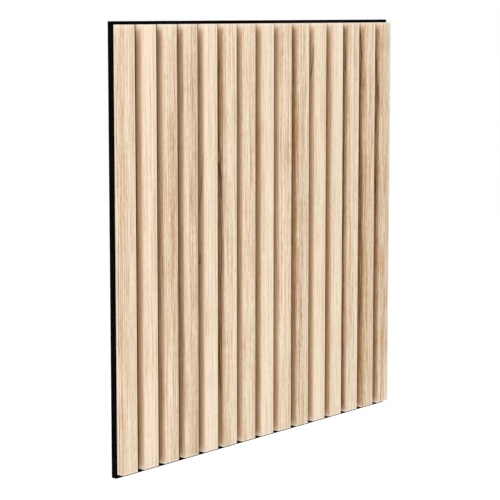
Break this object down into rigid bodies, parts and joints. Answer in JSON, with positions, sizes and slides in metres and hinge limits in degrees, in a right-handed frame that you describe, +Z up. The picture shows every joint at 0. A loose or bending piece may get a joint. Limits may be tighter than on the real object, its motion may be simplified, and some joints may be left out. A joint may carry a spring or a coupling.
{
  "type": "acoustic slat wall panel",
  "caption": "Square wall panel of upright oak-veneered slats on a black felt board that soaks up sound in the grooves between them.",
  "frame": {"origin": "centre of the felt board's back, the face that lies on the wall", "axes": "+Y into the wall, so the slats face -Y; +Z up along the slats; +X to the right as seen from the room"},
  "size_m": [0.5924, 0.0195, 0.6],
  "materials": {
    "oak_veneer": "matt lacquered oak",
    "fibreboard": "sawn fibreboard",
    "felt": "black pressed felt"
  },
  "bodies": {
    "root": {"felt_backing": "felt", "slat_core_01": "fibreboard", "slat_veneer_01": "oak_veneer", "slat_core_02": "fibreboard", "slat_veneer_02": "oak_veneer", "slat_core_03": "fibreboard", "slat_veneer_03": "oak_veneer", "slat_core_04": "fibreboard", "slat_veneer_04": "oak_veneer", "slat_core_05": "fibreboard", "slat_veneer_05": "oak_veneer", "slat_core_06": "fibreboard", "slat_veneer_06": "oak_veneer", "slat_core_07": "fibreboard", "slat_veneer_07": "oak_veneer", "slat_core_08": "fibreboard", "slat_veneer_08": "oak_veneer", "slat_core_09": "fibreboard", "slat_veneer_09": "oak_veneer", "slat_core_10": "fibreboard", "slat_veneer_10": "oak_veneer", "slat_core_11": "fibreboard", "slat_veneer_11": "oak_veneer", "slat_core_12": "fibreboard", "slat_veneer_12": "oak_veneer", "slat_core_13": "fibreboard", "slat_veneer_13": "oak_veneer", "slat_core_14": "fibreboard", "slat_veneer_14": "oak_veneer", "slat_core_15": "fibreboard", "slat_veneer_15": "oak_veneer"}
  },
  "joints": []
}
